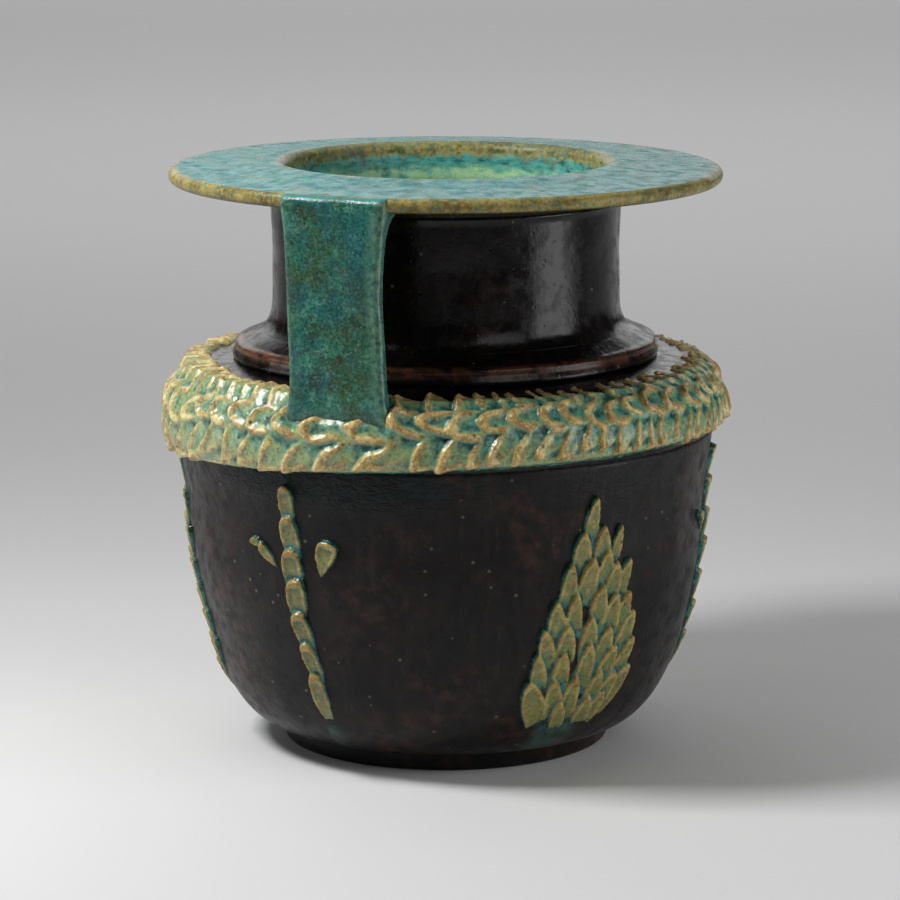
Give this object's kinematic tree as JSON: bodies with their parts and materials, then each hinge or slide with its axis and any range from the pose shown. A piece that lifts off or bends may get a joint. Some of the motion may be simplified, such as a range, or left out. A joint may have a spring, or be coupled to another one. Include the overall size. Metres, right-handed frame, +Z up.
{
  "type": "two-handled faience jar",
  "caption": "Glazed faience jar with a ring foot, round belly, straight neck, broad disc rim, strap handles, a leaf garland, and cone and stalk reliefs.",
  "frame": {"origin": "centre of the standing ring, on the surface the jar stands on", "axes": "+Z up along the vessel's axis, handles on the -Y and +Y sides, +X to the right seen from the -Y handle"},
  "size_m": [0.1906, 0.1906, 0.1912],
  "materials": {
    "dark_glaze": "glossy brown-black glaze with fine pale specks",
    "turquoise_glaze": "satin turquoise glaze, ochre where it runs thin",
    "teal_glaze": "satin teal glaze with olive mottling",
    "leaf_glaze": "glossy turquoise glaze with ochre edges",
    "relief_glaze": "glossy yellow-green glaze with ochre edges"
  },
  "bodies": {
    "root": {"foot_ring": "dark_glaze", "belly_wall": "dark_glaze", "shoulder": "dark_glaze", "collar": "dark_glaze", "neck": "dark_glaze", "rim_disc": "turquoise_glaze", "front_handle": "teal_glaze", "back_handle": "teal_glaze", "garland_coil": "turquoise_glaze", "garland_upper_leaves": "leaf_glaze", "garland_middle_leaves": "leaf_glaze", "garland_lower_leaves": "leaf_glaze", "cone_relief_1": "relief_glaze", "cone_relief_2": "relief_glaze", "cone_relief_3": "relief_glaze", "stalk_relief_1": "relief_glaze", "stalk_relief_2": "relief_glaze", "stalk_relief_3": "relief_glaze", "bud_pair_1": "relief_glaze", "bud_pair_2": "relief_glaze", "bud_pair_3": "relief_glaze"}
  },
  "joints": []
}
